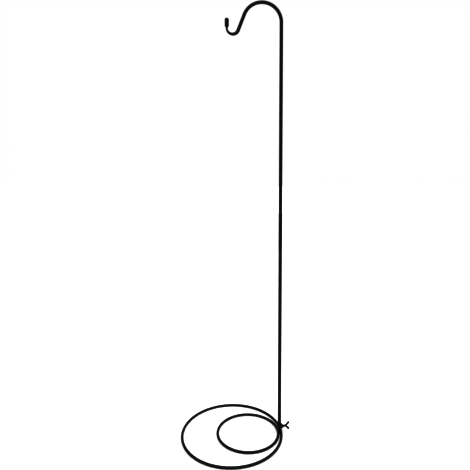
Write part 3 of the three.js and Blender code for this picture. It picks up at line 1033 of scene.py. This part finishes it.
# %% Dip the cap
CAP_BORE = 3.0
CAP_MOUTH = 4.2
CAP_SHOULDER = 4.6
CAP_DOME = 5.4
CAP_LIP = 0.35
CAP_SIDES = 64
cap_foot = cap_middle.z - cap_size.z / 2
cap_top = cap_middle.z + cap_size.z / 2
cap_radius = cap_size.y / 2
cap_outline = [(CAP_BORE + 0.25, cap_foot + 0.1)]
for k in range(9):
    angle = math.pi * (k / 8) - math.pi / 2
    cap_outline.append((CAP_MOUTH - 0.3 + CAP_LIP * math.cos(angle) * 1.4,
                        cap_foot + 0.6 + 0.6 * math.sin(angle)))
for k in range(1, 13):
    share = k / 12
    radius = CAP_MOUTH - 0.3 + (cap_radius - CAP_MOUTH + 0.3) * eased(share) ** 0.8
    cap_outline.append((radius, cap_foot + 1.2 + (CAP_SHOULDER - 1.2) * share))
side_height = cap_size.z - CAP_SHOULDER - CAP_DOME
for k in range(1, 6):
    belly = -0.12 * math.sin(math.pi * k / 5)
    cap_outline.append((cap_radius + belly, cap_foot + CAP_SHOULDER + side_height * k / 5))
for k in range(1, 17):
    angle = math.pi / 2 * k / 16
    height = cap_top - CAP_DOME + CAP_DOME * math.sin(angle)
    cap_outline.append((max(cap_radius * math.cos(angle), 0) if k < 16 else 0.0, height))
bore_top = tip_start.z + TIP_LENGTH + 0.4
cap_outline += [(0.0, bore_top), (CAP_BORE - 0.6, bore_top), (CAP_BORE, bore_top - 0.6),
                (CAP_BORE, cap_foot + 0.5)]


# The outline touches the axis twice, at the top outside and at the top of the bore, so the rings
# start just after the first touch and end on it.
cap_rings = turned_rings(cap_outline, cap_middle.x, CAP_SIDES)
apex = next(i for i, ring in enumerate(cap_rings) if len(ring) == 1)
cap = stitched(cap_rings[apex + 1:] + cap_rings[:apex + 1], closed=False)
piece("vinyl_tip_cap", cap, "upper_section", "black_cap", "tip_cap")

# %% [markdown]
# ## Floor and light
# A pale floor runs out of sight in every direction, and the sky round it is white, as in a studio
# with no corners. A broad soft sun from above lights the floor evenly. Two tall soft boxes
# draw a thin line of light down the pole, and the surroundings that the black coat mirrors are
# kept dim, or a glossy black would turn grey.

# %% Lay the floor
FLOOR_REACH = 60
floor_mesh = bpy.data.meshes.new("pale_floor")
floor_mesh.from_pydata(
    [(x * FLOOR_REACH, y * FLOOR_REACH, 0) for x, y in ((-1, -1), (1, -1), (1, 1), (-1, 1))],
    [], [(0, 1, 2, 3)])
floor_finish, tree, shader, place = start_finish("pale_floor", Roughness=0.7)
shader.inputs["Base Color"].default_value = (0.86, 0.86, 0.86, 1)
shader.inputs["Specular IOR Level"].default_value = 0.2
floor_mesh.materials.append(floor_finish)
floor = bpy.data.objects.new("pale_floor", floor_mesh)
bpy.context.scene.collection.objects.link(floor)
print("floor", 2 * FLOOR_REACH, "m wide")

# %% Hang the lights
SKY_SEEN = 1.0
SKY_LIGHT = 0.3
CONTRAST = 0.5                # under 1 deepens the blacks and keeps white white
world = bpy.data.worlds.new("white_studio")
world.use_nodes = True
bpy.context.scene.world = world
tree = world.node_tree
tree.nodes.clear()
dim = add(tree, "ShaderNodeBackground", {"Color": (1, 1, 1, 1), "Strength": SKY_LIGHT})
bright = add(tree, "ShaderNodeBackground", {"Color": (1, 1, 1, 1), "Strength": SKY_SEEN})
seen = add(tree, "ShaderNodeLightPath", out="Is Camera Ray")
mixed = add(tree, "ShaderNodeMixShader", {0: seen, 1: dim, 2: bright})
tree.links.new(mixed, tree.nodes.new("ShaderNodeOutputWorld").inputs["Surface"])


def add_sun(name, strength, spread, lean, turn):
    """A broad soft sun that leans from straight overhead, turned about the stand."""
    data = bpy.data.lights.new(name, "SUN")
    data.energy = strength
    data.angle = math.radians(spread)
    sun = bpy.data.objects.new(name, data)
    sun.rotation_euler = (math.radians(lean), 0, math.radians(turn))
    bpy.context.scene.collection.objects.link(sun)


def add_soft_box(name, watts, size, spot, aim):
    """A tall soft box at a spot, turned to its aim."""
    data = bpy.data.lights.new(name, "AREA")
    data.shape = "RECTANGLE"
    data.energy = watts
    data.size, data.size_y = size
    box = bpy.data.objects.new(name, data)
    box.location = spot
    box.rotation_euler = (Vector(aim) - Vector(spot)).to_track_quat("-Z", "Y").to_euler()
    box.visible_camera = False
    bpy.context.scene.collection.objects.link(box)


add_sun("overhead_sun", 4.0, 100, 12, 30)
stand_middle = (POLE_X * MM * 0.5, 0, 0.6)
add_soft_box("left_soft_box", 9, (0.5, 2.2), (-2.0, -1.1, 1.2), stand_middle)
add_soft_box("right_soft_box", 5, (0.4, 2.2), (2.2, -0.4, 1.2), stand_middle)
bpy.context.scene.view_settings.view_transform = "Standard"
bpy.context.scene.view_settings.gamma = CONTRAST
